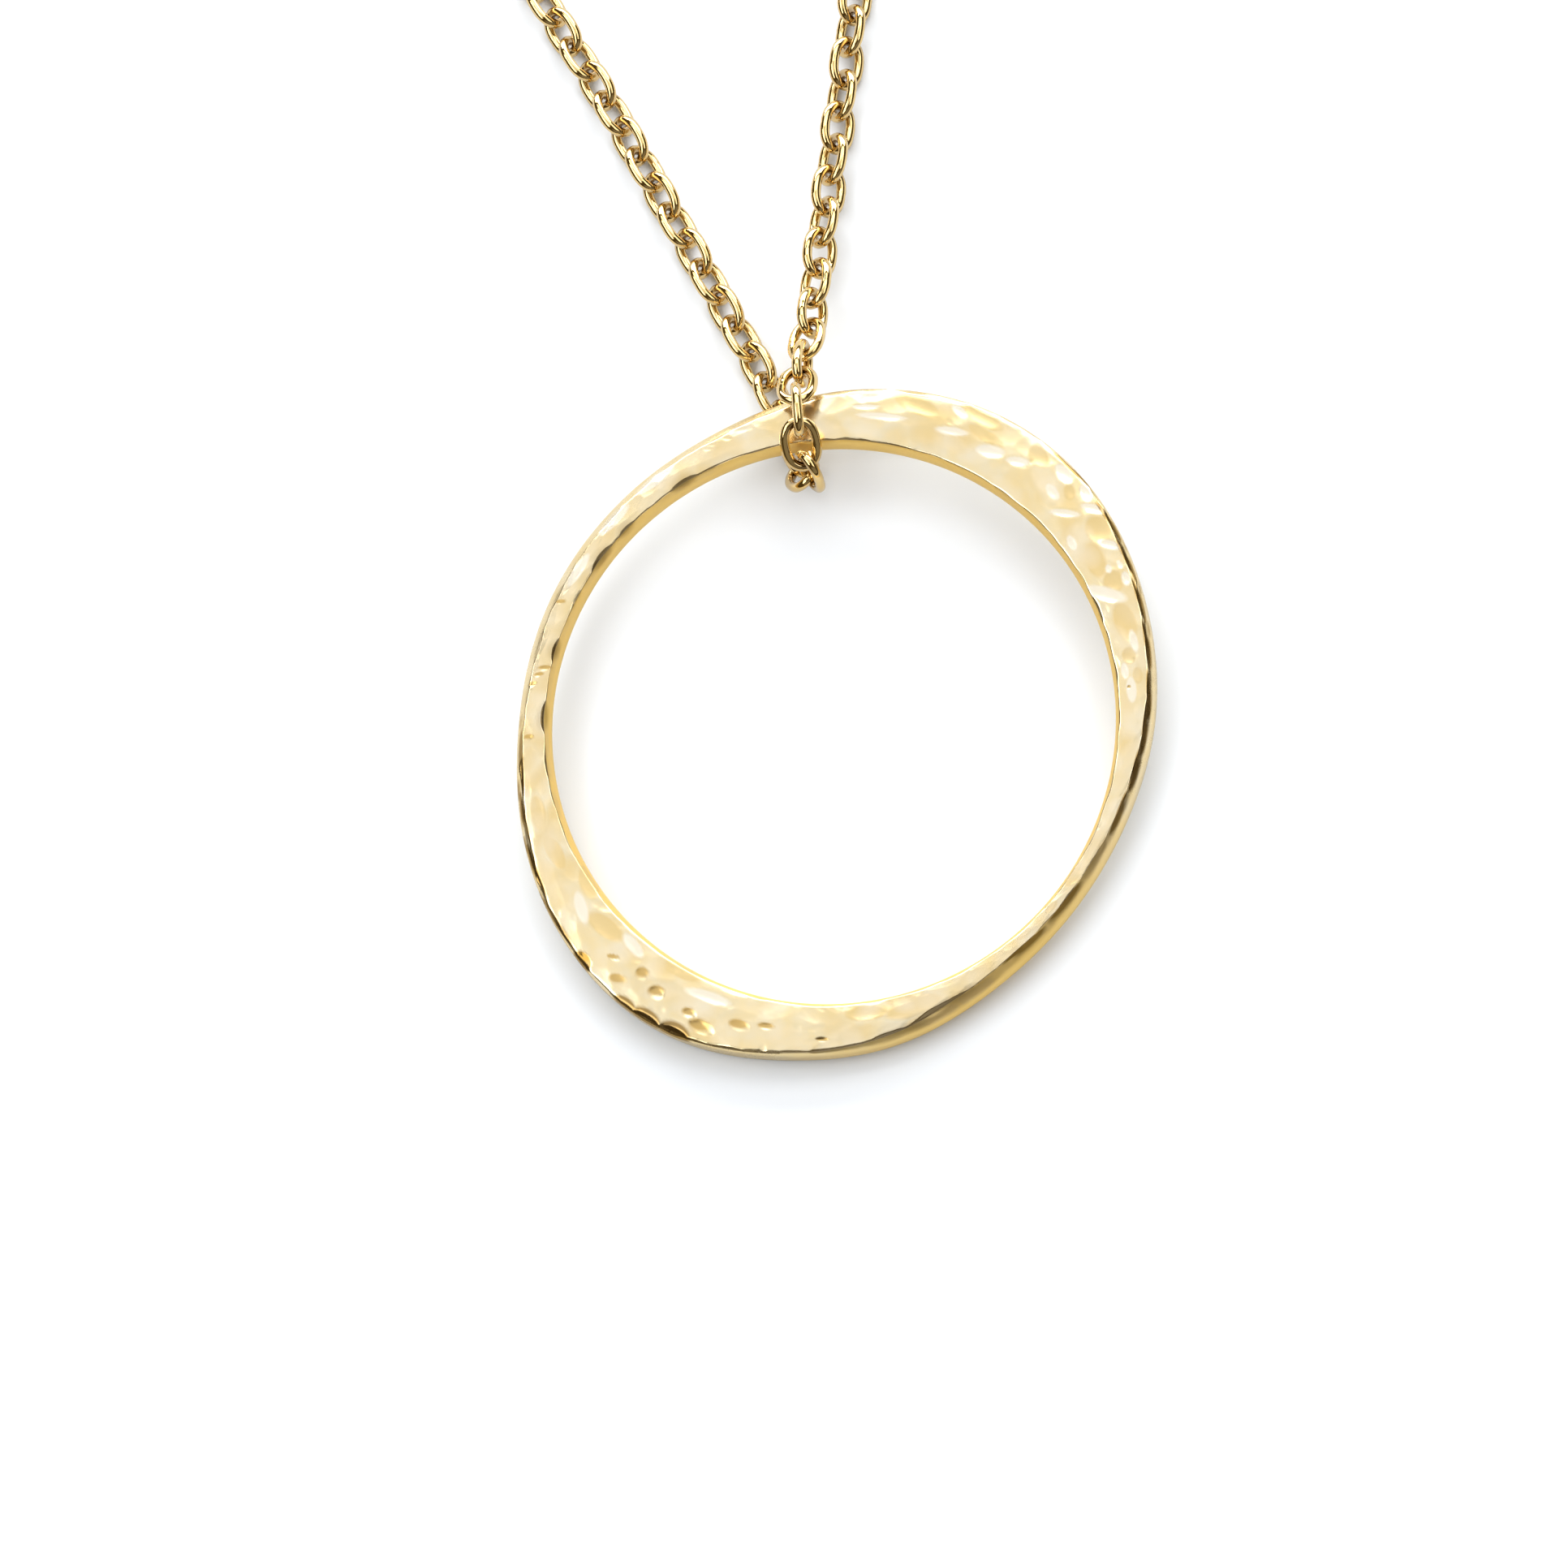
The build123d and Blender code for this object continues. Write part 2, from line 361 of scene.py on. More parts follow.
# what the hammer's rounded tool does
hammer = {
    "reach": 3.2,            # half lengths along the ring within which a blow is worked out
    "spareRows": 2,
    "boreCurve": 1.8,        # the tool's curve in the bore, 2 for one that follows the bore
    "pressed": 1.2,          # mm from the blow's own plane, within which it moves metal
    "painted": 0.35,         # mm from that plane, within which it colours it
}

# Marks read off the photograph: x and y in pixels, then half length and half width in mm,
# degrees that the length turns from the ring's own direction, and depth in mm.
ringMarks = {
    # dents painted brown, a painted shade that is darker on their upper side in the picture
    "brown": [
        (719, 1182, 0.55, 0.30, 10, 0.07),
        (757, 1180, 0.45, 0.16, -25, 0.04),
        (762, 1208, 0.60, 0.35, -15, 0.03),
        (792, 1201, 0.45, 0.40, 25, 0.05),
        (809, 1223, 0.55, 0.42, -20, 0.07),
        (849, 1248, 0.50, 0.30, 0, 0.07),
        (864, 1266, 0.85, 0.45, 8, 0.09),
        (911, 1264, 0.70, 0.36, 5, 0.06),
        (945, 1265, 0.55, 0.22, 0, 0.05),
        (1014, 1281, 0.42, 0.14, 0, 0.05),
        (671, 823, 0.45, 0.18, 75, 0.04),
        (655, 843, 0.35, 0.16, 60, 0.04),
        (663, 832, 0.35, 0.14, 70, 0.03),
        (690, 742, 0.35, 0.16, 60, 0.03),
        (651, 909, 0.35, 0.20, 85, 0.04),
        (1391, 847, 0.12, 0.12, 0, 0.05),
    ],
    # patches painted a duller gold, a painted shade for facets that reflect less light
    "golden": [
        (663, 1002, 1.1, 0.45, 5, 0.03),
        (683, 1049, 1.2, 0.45, -5, 0.03),
        (726, 1085, 1.1, 0.60, 20, 0.03),
        (746, 1142, 1.3, 0.55, -10, 0.03),
        (838, 1196, 1.2, 0.40, -5, 0.02),
        (1130, 500, 1.6, 0.50, 10, 0.03),
        (1210, 515, 1.5, 0.45, 5, 0.03),
        (1215, 537, 1.3, 0.35, 5, 0.02),
        (1280, 563, 0.8, 0.55, 20, 0.04),
        (1317, 606, 0.5, 0.35, 30, 0.03),
        (1353, 653, 0.9, 0.75, 0, 0.05),
        (1349, 690, 1.1, 0.60, 10, 0.03),
        (1372, 716, 0.7, 0.60, 10, 0.04),
        (1386, 765, 1.2, 0.65, 0, 0.05),
        (1391, 808, 0.5, 0.40, 0, 0.04),
        (1402, 832, 0.5, 0.30, 0, 0.03),
        (1125, 1240, 1.7, 0.62, 0, 0.03),
        (1068, 1247, 1.3, 0.50, 0, 0.03),
        (1150, 1252, 1.7, 0.40, 0, 0.02),
        (1205, 1222, 1.4, 0.34, 0, 0.02),
        (1120, 1226, 0.9, 0.40, 0, 0.02),
        (1262, 1150, 0.5, 0.25, 0, 0.02),
        (1295, 1118, 0.5, 0.20, 0, 0.02),
        (1322, 1080, 0.7, 0.30, 0, 0.02),
    ],
    # patches painted near white, painted highlights on the face
    "bright": [
        (1071, 489, 0.9, 0.18, -8, 0.03),
        (1067, 501, 0.8, 0.14, -5, 0.03),
        (1085, 513, 1.5, 0.20, -3, 0.03),
        (1172, 531, 1.0, 0.24, -12, 0.04),
        (1183, 507, 0.6, 0.26, 20, 0.03),
        (1220, 556, 0.9, 0.38, -20, 0.05),
        (1253, 568, 0.7, 0.26, -25, 0.04),
        (1297, 606, 0.6, 0.30, 10, 0.04),
        (1311, 584, 0.7, 0.38, 10, 0.05),
        (1338, 607, 0.6, 0.34, 20, 0.05),
        (1312, 632, 0.9, 0.22, -40, 0.04),
        (1348, 627, 0.8, 0.26, -35, 0.04),
        (1321, 669, 0.5, 0.26, 10, 0.03),
        (1367, 671, 0.7, 0.26, -40, 0.04),
        (1366, 701, 0.26, 0.18, 10, 0.03),
        (1380, 696, 0.30, 0.14, 0, 0.03),
        (1387, 712, 0.45, 0.26, 10, 0.04),
        (1362, 731, 1.3, 0.42, -50, 0.05),
        (1397, 790, 0.7, 0.24, 0, 0.03),
        (1386, 826, 0.5, 0.22, 0, 0.03),
        (1394, 850, 0.8, 0.30, 0, 0.03),
        (806, 592, 1.4, 0.34, 0, 0.02),
        (756, 640, 1.3, 0.34, 0, 0.02),
        (712, 703, 1.2, 0.30, 0, 0.02),
        (716, 1118, 1.0, 0.36, 20, 0.03),
        (872, 1228, 1.4, 0.34, -5, 0.03),
        (780, 1165, 0.9, 0.34, 10, 0.03),
        (1178, 1190, 2.0, 0.40, 0, 0.02),
        (1235, 1155, 1.6, 0.36, 0, 0.02),
        (1285, 1103, 1.6, 0.34, 0, 0.02),
        (1330, 1035, 1.8, 0.30, 0, 0.02),
    ],
    # dents along the outer edge, where the hammer leaned outwards, with painted shade along them
    # for the edge's dark reflection
    "edge": [
        (835, 1262, 1.0, 0.62, 0, 0.20),
        (800, 1247, 1.0, 0.55, 0, 0.16),
        (770, 1236, 0.8, 0.40, 0, 0.08),
        (717, 1183, 0.7, 0.50, 0, 0.14),
        (638, 930, 2.2, 0.16, 0, 0.05),
        (644, 1000, 2.0, 0.17, 0, 0.06),
        (658, 1065, 2.0, 0.17, 0, 0.06),
        (684, 1130, 2.0, 0.17, 0, 0.05),
        (1368, 645, 1.8, 0.12, 0, 0.03),
        (1388, 695, 1.8, 0.14, 0, 0.05),
        (1403, 745, 1.8, 0.15, 0, 0.05),
        (1412, 800, 1.8, 0.14, 0, 0.04),
        (1414, 860, 1.8, 0.12, 0, 0.03),
        (1408, 905, 1.6, 0.15, 0, 0.04),
        (1398, 952, 1.4, 0.15, 0, 0.04),
        (1378, 1003, 1.4, 0.14, 0, 0.04),
        (1308, 1108, 1.5, 0.11, 0, 0.03),
        (1262, 1163, 1.6, 0.12, 0, 0.03),
        (1322, 580, 1.8, 0.09, 0, 0.02),
    ],
    # longer facets of the outer edge, struck at the same lean but given less painted shade
    "facet": [
        (1189, 1225, 2.4, 0.34, 0, 0.08),
        (1115, 1265, 1.6, 0.32, 0, 0.07),
        (1347, 1055, 1.6, 0.24, 0, 0.05),
    ],
    # notches in the inner edge, where the hammer leaned inwards, with a little painted shade
    "notch": [
        (734, 683, 1.0, 0.50, 0, 0.14),
        (768, 650, 0.7, 0.40, 0, 0.08),
        (839, 588, 0.9, 0.50, 0, 0.12),
        (675, 798, 0.7, 0.45, 0, 0.12),
        (670, 883, 0.9, 0.45, 0, 0.14),
    ],
}

# marks on an edge: degrees that the hammer leaned outwards, and how much painted shade they carry
edgeMarks = {"edge": (32, 1), "facet": (32, 0.2), "notch": (-40, 0.16)}

# light blows, in the order in which they fall: how many, then the least and the most half length,
# half width and depth in mm, and outward lean in degrees for those that fall on an edge
lightBlows = {
    "broad": (260, (0.8, 1.6), (0.5, 1.0), (0.010, 0.030), None),
    "small": (420, (0.22, 0.60), (0.15, 0.32), (0.006, 0.024), None),
    "back": (240, (0.8, 1.6), (0.5, 1.0), (0.010, 0.030), None),
    "edge": (80, (0.9, 1.8), (0.25, 0.5), (0.04, 0.08), (36, 50)),
    "bore": (46, (0.5, 1.3), (0.3, 0.6), (0.01, 0.05), (-30, -65)),
}

# the colours that marks and blows paint on the ring's points, for its material: painted shade
# (brown, golden, shade) and painted highlight (bright)
ringPaints = ("brown", "golden", "bright", "shade")


def ringSections():
    # radius and height of every point of every section, from the inner edge of the face outwards
    size, ring = ringPiece, ringShape
    bearings = np.linspace(0, 2 * math.pi, size["stepsRound"], endpoint=False)
    depth, bore = ring["depth"], ring["bore"]
    rim = ring["rim"](bearings) - size["shrink"]
    swell = ring["swell"](bearings)
    corner = size["corner"] * np.ones(len(bearings))
    crown = size["crown"] * (rim - bore)
    drop = size["corner"]

    def line(start, end, steps):
        shares = np.linspace(0, 1, steps, endpoint=False)[None, :]
        return start[:, None] * (1 - shares) + end[:, None] * shares

    def bend(start, knee, end, steps):
        shares = np.linspace(0, 1, steps, endpoint=False)[None, :]
        first = start[:, None] * (1 - shares) ** 2 + end[:, None] * shares ** 2
        return first + 2 * knee[:, None] * shares * (1 - shares)

    whole = np.ones(len(bearings))
    low, high = drop * whole, depth * whole - crown - drop
    outer = rim + swell * bulge(high / depth)
    inner = bore - size["innerSwell"] * bulge(high / depth)
    bottom, top = 0 * whole, depth * whole - crown
    turn = size["stepsCorner"]
    radii, heights = [], []

    def part(radius, height):
        radii.append(radius)
        heights.append(height)

    share = np.linspace(0, 1, size["stepsFace"], endpoint=False)[None, :]
    crowned = top[:, None] + crown[:, None] * bulge(share)
    part(line(bore + corner, rim - corner, size["stepsFace"]), crowned)
    part(bend(rim - corner, rim, outer, turn), bend(top, top, high, turn))
    wall = line(high, low, size["stepsWall"])
    part(rim[:, None] + swell[:, None] * bulge(wall / depth), wall)
    part(bend(outer, rim, rim - corner, turn), bend(low, bottom, bottom, turn))
    level = line(bottom, bottom, size["stepsBack"])
    part(line(rim - corner, bore + corner, size["stepsBack"]), level)
    part(bend(bore + corner, bore * whole, inner, turn), bend(bottom, bottom, low, turn))
    wall = line(low, high, size["stepsWall"])
    part(bore - size["innerSwell"] * bulge(wall / depth), wall)
    part(bend(inner, bore * whole, bore + corner, turn), bend(high, top, top, turn))
    return bearings, np.concatenate(radii, axis=1), np.concatenate(heights, axis=1)


def sectionPlaces(bearings, radii, heights):
    ring = ringShape
    sideways = ring["middle"][0] + radii * np.sin(bearings)[:, None]
    onwards = ring["middle"][1] + radii * np.cos(bearings)[:, None]
    spots = sideways[..., None] * ring["across"] + onwards[..., None] * ring["ahead"]
    return spots + (ring["back"] + heights)[..., None] * ring["normal"]


def backRows():
    # the points of each section on the flat back, from its inner edge outwards
    size = ringPiece
    start = size["stepsFace"] + 2 * size["stepsCorner"] + size["stepsWall"]
    return np.arange(start + size["stepsBack"], start - 1, -1)


def strike(places, shape, bearing, radius, lean, mark, under=False):
    # one blow: a rounded tool pressed into the metal. Gives the mark's share at every point, and
    # how far up the picture each point is from the blow's middle.
    halfLength, halfWidth, turn, depth = mark
    ring, tool = ringShape, hammer
    outwards = math.sin(bearing) * ring["across"] + math.cos(bearing) * ring["ahead"]
    along = math.cos(bearing) * ring["across"] - math.sin(bearing) * ring["ahead"]
    section = shape[int(round(bearing / (2 * math.pi) * len(shape))) % len(shape)]
    if lean:
        facing = math.cos(lean) * ring["normal"] + math.sin(lean) * outwards
        target = section[np.argmax(section @ facing)]
    else:
        # straight down on the crowned face, or up on the back
        face = section[backRows()] if under else section[:ringPiece["stepsFace"] + 1]
        reaches = (face - facePoint(0, 0)) @ outwards
        spot = min(max(int(np.searchsorted(reaches, radius)), 1), len(face) - 1)
        step = face[spot] - face[spot - 1]
        start, end = reaches[spot - 1], reaches[spot]
        target = face[spot - 1] + step * (radius - start) / (end - start)
        facing = np.cross(step, along)
        facing = facing / np.linalg.norm(facing)
        facing = facing if (facing @ ring["normal"] > 0) != under else -facing
    sideways = np.cross(along, facing)
    turned = math.radians(turn)
    longAxis = math.cos(turned) * along + math.sin(turned) * sideways
    shortAxis = math.cos(turned) * sideways - math.sin(turned) * along
    # only the rows of points near the blow
    rows = len(places)
    around = 2 * math.pi * ring["bore"]
    reach = int(rows * tool["reach"] * halfLength / around) + tool["spareRows"]
    middle = int(round(bearing / (2 * math.pi) * rows))
    near = np.arange(middle - reach, middle + reach + 1) % rows
    offset = places[near] - target
    spread = (offset @ longAxis / halfLength) ** 2 + (offset @ shortAxis / halfWidth) ** 2
    above = offset @ facing
    # the bore curves towards the tool, so the tool is rounder there
    curve = tool["boreCurve"] * ring["bore"]
    rounder = max(0, -math.sin(lean)) * (offset @ along) ** 2 / curve
    pressed = np.clip(above + depth * (1 - spread) - rounder, 0, None)
    pressed[abs(above) > tool["pressed"]] = 0
    places[near] -= pressed[..., None] * facing
    share, raised = np.zeros((2,) + places.shape[:2])
    share[near] = np.clip(1 - spread, 0, 1) * (abs(above) < tool["painted"])
    raised[near] = offset @ np.array(cameraAxes())[:, 1]
    return share, raised


def strikeMarks(places, shape, paints):
    # the marks that the photograph shows
    for kind, marks in ringMarks.items():
        lean, darkness = edgeMarks.get(kind, (0, 1))
        paint = paints["shade" if kind in edgeMarks else kind]
        for x, y, *mark in marks:
            bearing, radius = underPixel(x, y)
            bearing %= 2 * math.pi
            share, raised = strike(places, shape, bearing, radius, math.radians(lean), mark)
            # a brown dent's painted shade is darker on its upper side in the picture
            if kind == "brown":
                halfWidth = mark[1]
                share = share * np.clip(ringPiece["brownMiddle"] + raised / halfWidth, 0, 1)
            np.maximum(paint, share * darkness, out=paint)


def strikeLightly(places, shape, paints):
    # lighter blows all round, the same ones every time
    size, ring = ringPiece, ringShape
    chance = random.Random(size["seed"])
    for where, (count, lengths, widths, depths, leans) in lightBlows.items():
        for step in range(count):
            strayed = step + chance.uniform(-size["drift"], size["drift"])
            bearing = 2 * math.pi * strayed / count % (2 * math.pi)
            rim = float(ring["rim"](np.array([bearing]))[0])
            radius = ring["bore"] + chance.uniform(0, 1) * (rim - ring["bore"])
            turn = chance.uniform(-size["twist"], size["twist"])
            halfLength, halfWidth = chance.uniform(*lengths), chance.uniform(*widths)
            depth, lean = chance.uniform(*depths), 0
            if leans:
                # a blow on an edge lies along it
                turn, lean = 0, math.radians(chance.uniform(*leans))
            mark = (halfLength, halfWidth, turn, depth)
            share = strike(places, shape, bearing, radius, lean, mark, where == "back")[0]
            # a broad blow carries painted shade (golden) or a painted highlight (bright)
            if where == "broad":
                tint, most = chance.choice(size["tints"])
                paint = paints[tint]
                np.maximum(paint, share * chance.uniform(size["leastTint"], most), out=paint)


def flatShare(bearings, radii):
    # how far each point belongs to the flat front or back, which the material paints pale as a
    # painted highlight and makes smoother
    size = ringPiece
    flat = np.zeros(radii.shape)
    flat[:, :size["stepsFace"] + 1] = 1
    flat[:, 1 - size["stepsCorner"]:] = 1
    # the outer wall gets that painted highlight too, but for its lower right
    nearness = np.cos(bearings - math.radians(size["unlitWallMiddle"]))
    beyond = math.cos(math.radians(size["unlitWallHalf"])) - nearness
    wallHighlight = np.clip(0.5 + size["wallHighlightSlope"] * beyond, 0, 1)
    wallEnd = size["stepsFace"] + 2 * size["stepsCorner"] + size["stepsWall"]
    flat[:, size["stepsFace"] + 1:wallEnd] = size["wallHighlight"] * wallHighlight[:, None]
    flat[:, backRows()] = 1
    return flat


def makeRing(material):
    bearings, radii, heights = ringSections()
    shape = sectionPlaces(bearings, radii, heights)
    places = shape.copy()
    paints = {name: np.zeros(radii.shape) for name in ringPaints}
    strikeMarks(places, shape, paints)
    strikeLightly(places, shape, paints)
    paints["flat"] = flatShare(bearings, radii)
    faces = closedFaces(*radii.shape)[:, ::-1]
    places = places.reshape(-1, 3)
    piece = newPiece("forgedRing", places, faces, material, "hammered_ring")
    for name, values in paints.items():
        paintPoints(piece, name, values)
    return piece


ringGold = {
    # the pale colour, laid on the flat front and back and on most of the outer wall, is a painted
    # highlight for the face's bright reflection
    "pale": (0.85, 0.755, 0.54, 1),
    "wall": (1.0, 0.74, 0.26, 1),
    "paleShare": 0.70,       # of the flat front and back
    "patchShare": 0.9,       # how much of that changes from patch to patch
    "cloudShare": 0.4,       # and over wider clouds
    # painted marks, each over the last: painted shade (golden, brown, shade) and painted highlight
    # (bright); colour, how soon it is full, and how full it gets
    "marks": {
        "golden": ((0.83, 0.63, 0.29, 1), 2.4, 0.80),
        "bright": ((1.0, 0.97, 0.88, 1), 2.0, 0.70),
        "brown": ((0.64, 0.43, 0.14, 1), 2.2, 0.90),
        "shade": ((0.30, 0.17, 0.025, 1), 2.5, 0.85),      # painted shade on the edges, for their dark reflection
    },
    "faceRoughness": 0.21,
    "wallRoughness": 0.52,
    "patchRoughness": 0.12,  # change of roughness over the patches
    "grainRoughness": 0.05,
    "patchSize": 1.3,        # mm
    "patchesInCloud": 4,
    "grainSize": 0.10,       # mm
    "grainsInDimple": 7,
    "grainHeight": 0.5,      # in the relief
    "dimpleHeight": 1.2,
    "reliefStrength": 0.25,
    "reliefHeight": 0.012,   # mm
}


def makeRingGold():
    gold = ringGold
    look = Look(bpy.data.materials.new("satinRingGold"))
    patches = look.noise(gold["patchSize"], 3.0, 0.55)
    clouds = look.noise(gold["patchSize"] * gold["patchesInCloud"])
    grain = look.noise(gold["grainSize"], 2.0, 0.6)
    dimples = look.noise(gold["grainSize"] * gold["grainsInDimple"], 1.0)
    flat = look.painted("flat")
    # the flat parts are painted pale, a painted highlight, changing over patches and clouds
    change = gold["patchShare"] * (patches - 0.4) + gold["cloudShare"] * (clouds - 0.5)
    paleness = (flat * (gold["paleShare"] + change)).clamped()
    colour = look.blendColours(paleness, gold["wall"], gold["pale"])
    # painted shade (golden, brown, shade) and painted highlight (bright) over that
    for name, (tint, gain, fullest) in gold["marks"].items():
        share = (look.painted(name) * gain).clamped()
        if name == "bright":
            share = share * flat
        colour = look.blendColours(share * fullest, colour, tint)
    satin = gold["wallRoughness"] + flat * (gold["faceRoughness"] - gold["wallRoughness"])
    satin = satin + gold["patchRoughness"] * (patches - 0.5)
    satin = satin + gold["grainRoughness"] * (grain - 0.5)
    relief = gold["grainHeight"] * grain + gold["dimpleHeight"] * dimples
    surface = look.add("ShaderNodeBsdfPrincipled", {}, {
        "Base Color": colour, "Metallic": 1.0, "Roughness": satin,
        "Normal": look.bump(gold["reliefStrength"], gold["reliefHeight"], relief),
    })
    return look.finish(surface)


ring = makeRing(makeRingGold())
print("ring forged:", len(ring.data.polygons), "faces")


# the chain's links
linkPiece = {
    "links": 108,            # in each strand
    "longest": 2.0,          # mm, more than half a link
    "stepsLong": 48,
    "stepsWire": 16,
    "oval": 0.6,             # 0 for straight long sides, 1 for an ellipse
    "seamDepth": 0.014,      # mm, the groove where the wire's ends were soldered
    "seamHalf": 0.045,       # mm
    "seamSwap": 3,           # one link in so many has its seam on the other side
    "flatDepth": 0.012,      # mm, worn off the outsides of the long sides
    "flatNarrowing": 6,      # higher for a narrower flat
    "unshadedShare": 0.45,      # how much of each link's length is free of painted shade
    "endShade": 0.62,            # painted shade round the wire at a link's end
    "endShadeInside": 0.38,      # more on the inside of the bend, and less on the outside
}


def linkFrames(name):
    # middle, axes and half sizes of every link of a strand, from its share of the node's mesh
    points = nodePoints(name)
    corners = triangleCorners(name, points)
    count = linkPiece["links"]
    frames = []
    for own in corners.reshape(count, -1, 3, 3):
        sizes = np.linalg.norm(np.cross(own[:, 1] - own[:, 0], own[:, 2] - own[:, 0]), axis=1)
        middle = (own.mean(axis=1) * sizes[:, None]).sum(axis=0) / sizes.sum()
        arms = own - middle
        sums = arms.sum(axis=1)
        spread = np.einsum("n,nij,nik->jk", sizes, arms, arms)
        spread = spread + np.einsum("n,nj,nk->jk", sizes, sums, sums)
        values, axes = np.linalg.eigh(spread)
        facing, sideways, along = axes[:, 0], axes[:, 1], axes[:, 2]
        facing = facing if facing[2] > 0 else -facing
        along = along if along[1] > 0 else -along
        sideways = np.cross(facing, along)
        halves = [abs(arms @ axis).max() for axis in (along, sideways, facing)]
        if max(halves) > linkPiece["longest"]:
            raise ValueError(name + " holds its links in another order")
        frames.append((middle, along, sideways, facing, halves))
    return frames


def linkSurface(halves):
    # one link on its own axes: a wire bent into a long ring, closed by one soldered seam
    size = linkPiece
    halfLong, halfAcross, wire = halves
    bend, reach = halfAcross - wire, halfLong - wire
    straight = reach - bend
    total = 4 * straight + 2 * math.pi * bend
    runs = np.linspace(0, total, size["stepsLong"], endpoint=False)
    # from the middle of one long side, round both ends
    half = np.minimum(runs, total - runs)
    angles = np.clip((half - straight) / bend, 0, math.pi)
    along = np.minimum(half, straight) + bend * np.sin(angles)
    along -= np.clip(half - straight - math.pi * bend, 0, None)
    across = bend * np.cos(angles)
    ellipse = np.sign(across) * bend * np.sqrt(np.clip(1 - (along / reach) ** 2, 0, 1))
    across += (ellipse - across) * size["oval"]
    line = np.stack([np.where(runs <= total / 2, along, -along), across], axis=1)
    ways = np.roll(line, -1, axis=0) - np.roll(line, 1, axis=0)
    out = np.stack([-ways[:, 1], ways[:, 0]], axis=1) / np.linalg.norm(ways, axis=1)[:, None]
    turns = np.linspace(0, 2 * math.pi, size["stepsWire"], endpoint=False)
    outwards = np.cos(turns)[None, :]
    pinch = size["seamDepth"] * np.exp(-((half / size["seamHalf"]) ** 2))[:, None]
    worn = np.clip(outwards, 0, None) ** size["flatNarrowing"] * (out[:, 1] ** 2)[:, None]
    radius = wire - pinch - size["flatDepth"] * worn
    spots = line[:, None, :] + out[:, None, :] * (radius * outwards)[..., None]
    # painted shade at the links' ends, where they meet the next links, most of all on the inside of
    # the bends
    ends = np.clip((abs(along) / reach - size["unshadedShare"]) / (1 - size["unshadedShare"]), 0, 1)
    joint = ends[:, None] * (size["endShade"] - size["endShadeInside"] * outwards)
    return np.dstack([spots, radius * np.sin(turns)]).reshape(-1, 3), joint.ravel()


def makeStrand(name, node, material):
    size = linkPiece
    quads = closedFaces(size["stepsLong"], size["stepsWire"])
    frames = linkFrames(node)
    surface, joint = linkSurface(np.mean([entry[4] for entry in frames], axis=0))
    places, faces = [], []
    for number, (middle, along, sideways, facing, halves) in enumerate(frames):
        flip = 1 if number % size["seamSwap"] else -1
        axes = np.array([along * flip, sideways * flip, facing])
        places.append(middle + surface @ axes)
        faces.append(quads + number * len(surface))
    places, faces = np.concatenate(places), np.concatenate(faces)
    piece = newPiece(name, places, faces, material, node)
    # the share of painted shade at the links' ends, for the material
    paintPoints(piece, "joint", np.tile(joint, size["links"]))
    return piece


chainGold = {
    "colour": (0.90, 0.65, 0.23, 1),
    "deep": (0.70, 0.45, 0.10, 1),
    "deepShare": 0.6,        # how much of the deeper colour the patches bring
    # painted shade at the links' ends
    "jointShade": (0.26, 0.14, 0.02, 1),
    "leastJointShade": 0.7,     # of the painted shade share painted on the links
    "patchJointShade": 0.5,     # more of it over the patches
    "patchSize": 0.9,        # mm
    "scratchSize": 0.06,     # mm
    "roughness": 0.07,
    "patchRoughness": 0.06,  # change of roughness over the patches
    "scratchRoughness": 0.02,
    "lacquer": 2.0,          # its index of refraction
    "lacquerRoughness": 0.04,
    "reliefStrength": 0.06,
    "reliefHeight": 0.004,   # mm
}


def makeChainGold():
    gold = chainGold
    look = Look(bpy.data.materials.new("polishedChainGold"))
    patches = look.noise(gold["patchSize"])
    scratches = look.noise(gold["scratchSize"], 2.0, 0.6)
    deepness = (gold["deepShare"] * patches).clamped()
    colour = look.blendColours(deepness, gold["colour"], gold["deep"])
    # painted shade at the links' ends, stronger over the patches
    jointShade = look.painted("joint") * (gold["leastJointShade"] + gold["patchJointShade"] * patches)
    colour = look.blendColours(jointShade.clamped(), colour, gold["jointShade"])
    polish = gold["roughness"] + gold["patchRoughness"] * (patches - 0.4)
    surface = look.add("ShaderNodeBsdfPrincipled", {}, {
        "Base Color": colour, "Metallic": 1.0,
        "Roughness": polish + gold["scratchRoughness"] * scratches,
        "Normal": look.bump(gold["reliefStrength"], gold["reliefHeight"], scratches),
        "Coat Weight": 1.0, "Coat IOR": gold["lacquer"],
        "Coat Roughness": gold["lacquerRoughness"],
    })
    return look.finish(surface)


chainMaterial = makeChainGold()
for side in ("left", "right"):
    strand = makeStrand(side + "Strand", "chain_" + side, chainMaterial)
    print(side, "strand linked:", len(strand.data.polygons), "faces")
clasp = frame["nodes"]["clasp"]
for place in range(len(clasp.material_slots)):
    clasp.material_slots[place].material = chainMaterial
print("clasp finished")


# the floor and the lights
studio = {
    "floorSide": 3.0,        # m
    "floorColour": (0.89, 0.92, 0.955, 1),
    "floorShown": (0.67, 0.66, 0.64, 1),       # the floor in the metal's reflections
    "fill": 0.28,            # brightness of the room for the matt floor
    "room": 0.08,            # the same as the metal sees it
    "roomColour": (1.0, 0.72, 0.30, 1),
    # softboxes: bearing clockwise from +Y and height in degrees, distance, width and height in m,
    # and brightness as the metal sees it
    "boxes": {
        "keyBox": (-28, 84, 0.9, 0.72, 0.52, 0.91),
        "topBox": (5, 58, 0.9, 0.90, 0.34, 2.3),
        "farBox": (10, 24, 0.9, 1.50, 0.50, 5.2),
        "nearBox": (165, 30, 0.9, 1.30, 0.60, 0.16),
        "leftBox": (-95, 54, 0.8, 0.80, 0.36, 3.1),
        "rightBox": (85, 54, 0.8, 0.80, 0.36, 1.9),
    },
}


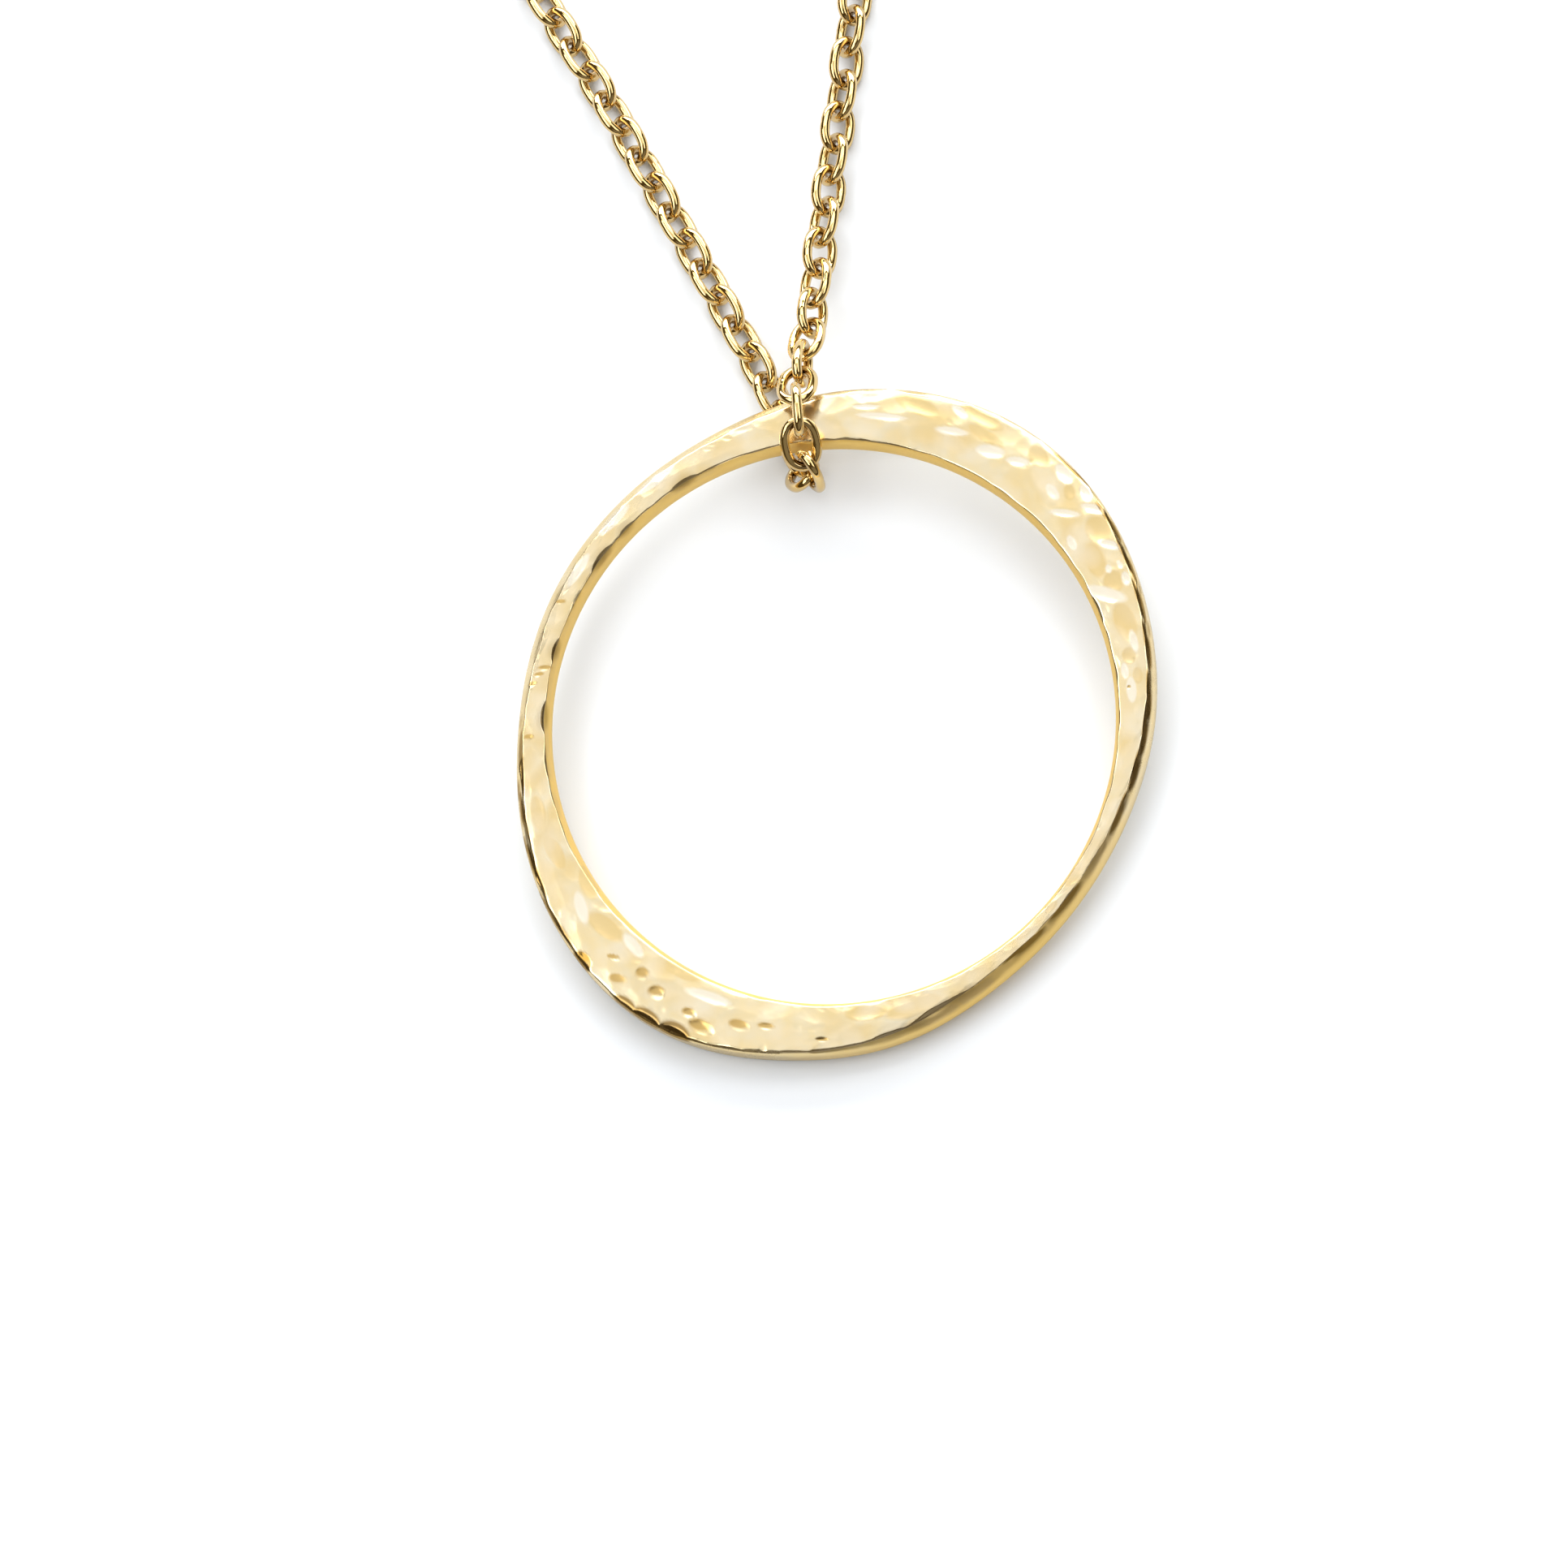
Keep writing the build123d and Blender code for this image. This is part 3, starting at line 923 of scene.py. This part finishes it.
def makeFloor():
    look = Look(bpy.data.materials.new("paperFloor"))
    paper = look.add("ShaderNodeBsdfDiffuse", {}, {"Color": studio["floorColour"]})
    shown = look.add("ShaderNodeBsdfDiffuse", {}, {"Color": studio["floorShown"]})
    reflected = look.add("ShaderNodeLightPath", out="Is Glossy Ray")
    surface = look.add("ShaderNodeMixShader", {}, {0: reflected, 1: paper, 2: shown})
    half = studio["floorSide"] / 2
    mesh = bpy.data.meshes.new("paperFloor")
    corners = [(-half, -half, 0), (half, -half, 0), (half, half, 0), (-half, half, 0)]
    mesh.from_pydata(corners, [], [(0, 1, 2, 3)])
    mesh.materials.append(look.finish(surface))
    floor = addObject("paperFloor", mesh)


def addSoftbox(name, bearing, height, distance, width, depth, brightness):
    # a soft rectangular lamp that faces the ring
    lamp = bpy.data.lights.new(name, "AREA")
    lamp.shape = "RECTANGLE"
    lamp.size, lamp.size_y = width, depth
    lamp.energy = brightness * math.pi * width * depth
    holder = addObject(name, lamp)
    turn = Matrix.Rotation(math.radians(-bearing), 3, "Z")
    away = turn @ Vector((0, math.cos(math.radians(height)), math.sin(math.radians(height))))
    holder.location = Vector(facePoint(0, 0)) * mm + away * distance
    holder.rotation_mode = "QUATERNION"
    holder.rotation_quaternion = away.to_track_quat("Z", "Y")


def makeRoom():
    # a bright room for the matt floor, and a dim one in the metal's reflections
    look = Look(bpy.data.worlds.new("room"))
    bright = look.add("ShaderNodeBackground", {}, {"Strength": studio["fill"]})
    sockets = {"Color": studio["roomColour"], "Strength": studio["room"]}
    dim = look.add("ShaderNodeBackground", {}, sockets)
    reflected = look.add("ShaderNodeLightPath", out="Is Glossy Ray")
    surface = look.add("ShaderNodeMixShader", {}, {0: reflected, 1: bright, 2: dim})
    bpy.context.scene.world = look.finish(surface, "ShaderNodeOutputWorld")


makeFloor()
makeRoom()
for boxName, boxPlace in studio["boxes"].items():
    addSoftbox(boxName, *boxPlace)
bpy.context.scene.view_settings.view_transform = "Standard"
print("floor and lights placed")
